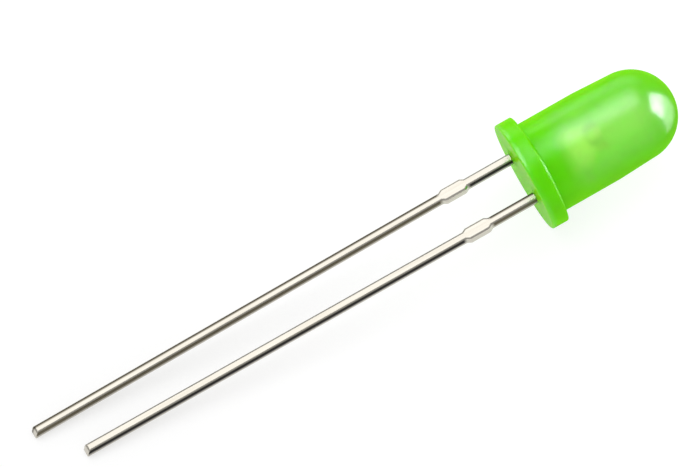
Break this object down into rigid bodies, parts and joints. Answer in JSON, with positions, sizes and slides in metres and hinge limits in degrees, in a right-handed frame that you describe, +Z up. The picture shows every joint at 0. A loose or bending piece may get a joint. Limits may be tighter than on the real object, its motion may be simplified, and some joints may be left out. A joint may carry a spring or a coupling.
{
  "type": "through-hole light-emitting diode",
  "caption": "Round through-hole light-emitting diode: flanged green diffused epoxy lens over a stamped leadframe, straight tinned leads with the anode longer, lying at rest.",
  "frame": {"origin": "middle of the bounding box, on the table that the diode lies on", "axes": "+X along the diode towards the dome, level with the table; +Y across the leads, from the cathode to the anode; +Z up"},
  "size_m": [0.0366, 0.006, 0.006],
  "materials": {
    "lens_epoxy": "gloss",
    "tinned_lead": "satin",
    "die_crystal": "satin",
    "silver_adhesive": "matte",
    "gold_wire": "polished"
  },
  "bodies": {
    "root": {"epoxy_lens": "lens_epoxy", "cathode_lead": "tinned_lead", "anode_lead": "tinned_lead", "led_die": "die_crystal", "die_adhesive": "silver_adhesive", "bond_wire": "gold_wire"}
  },
  "joints": []
}
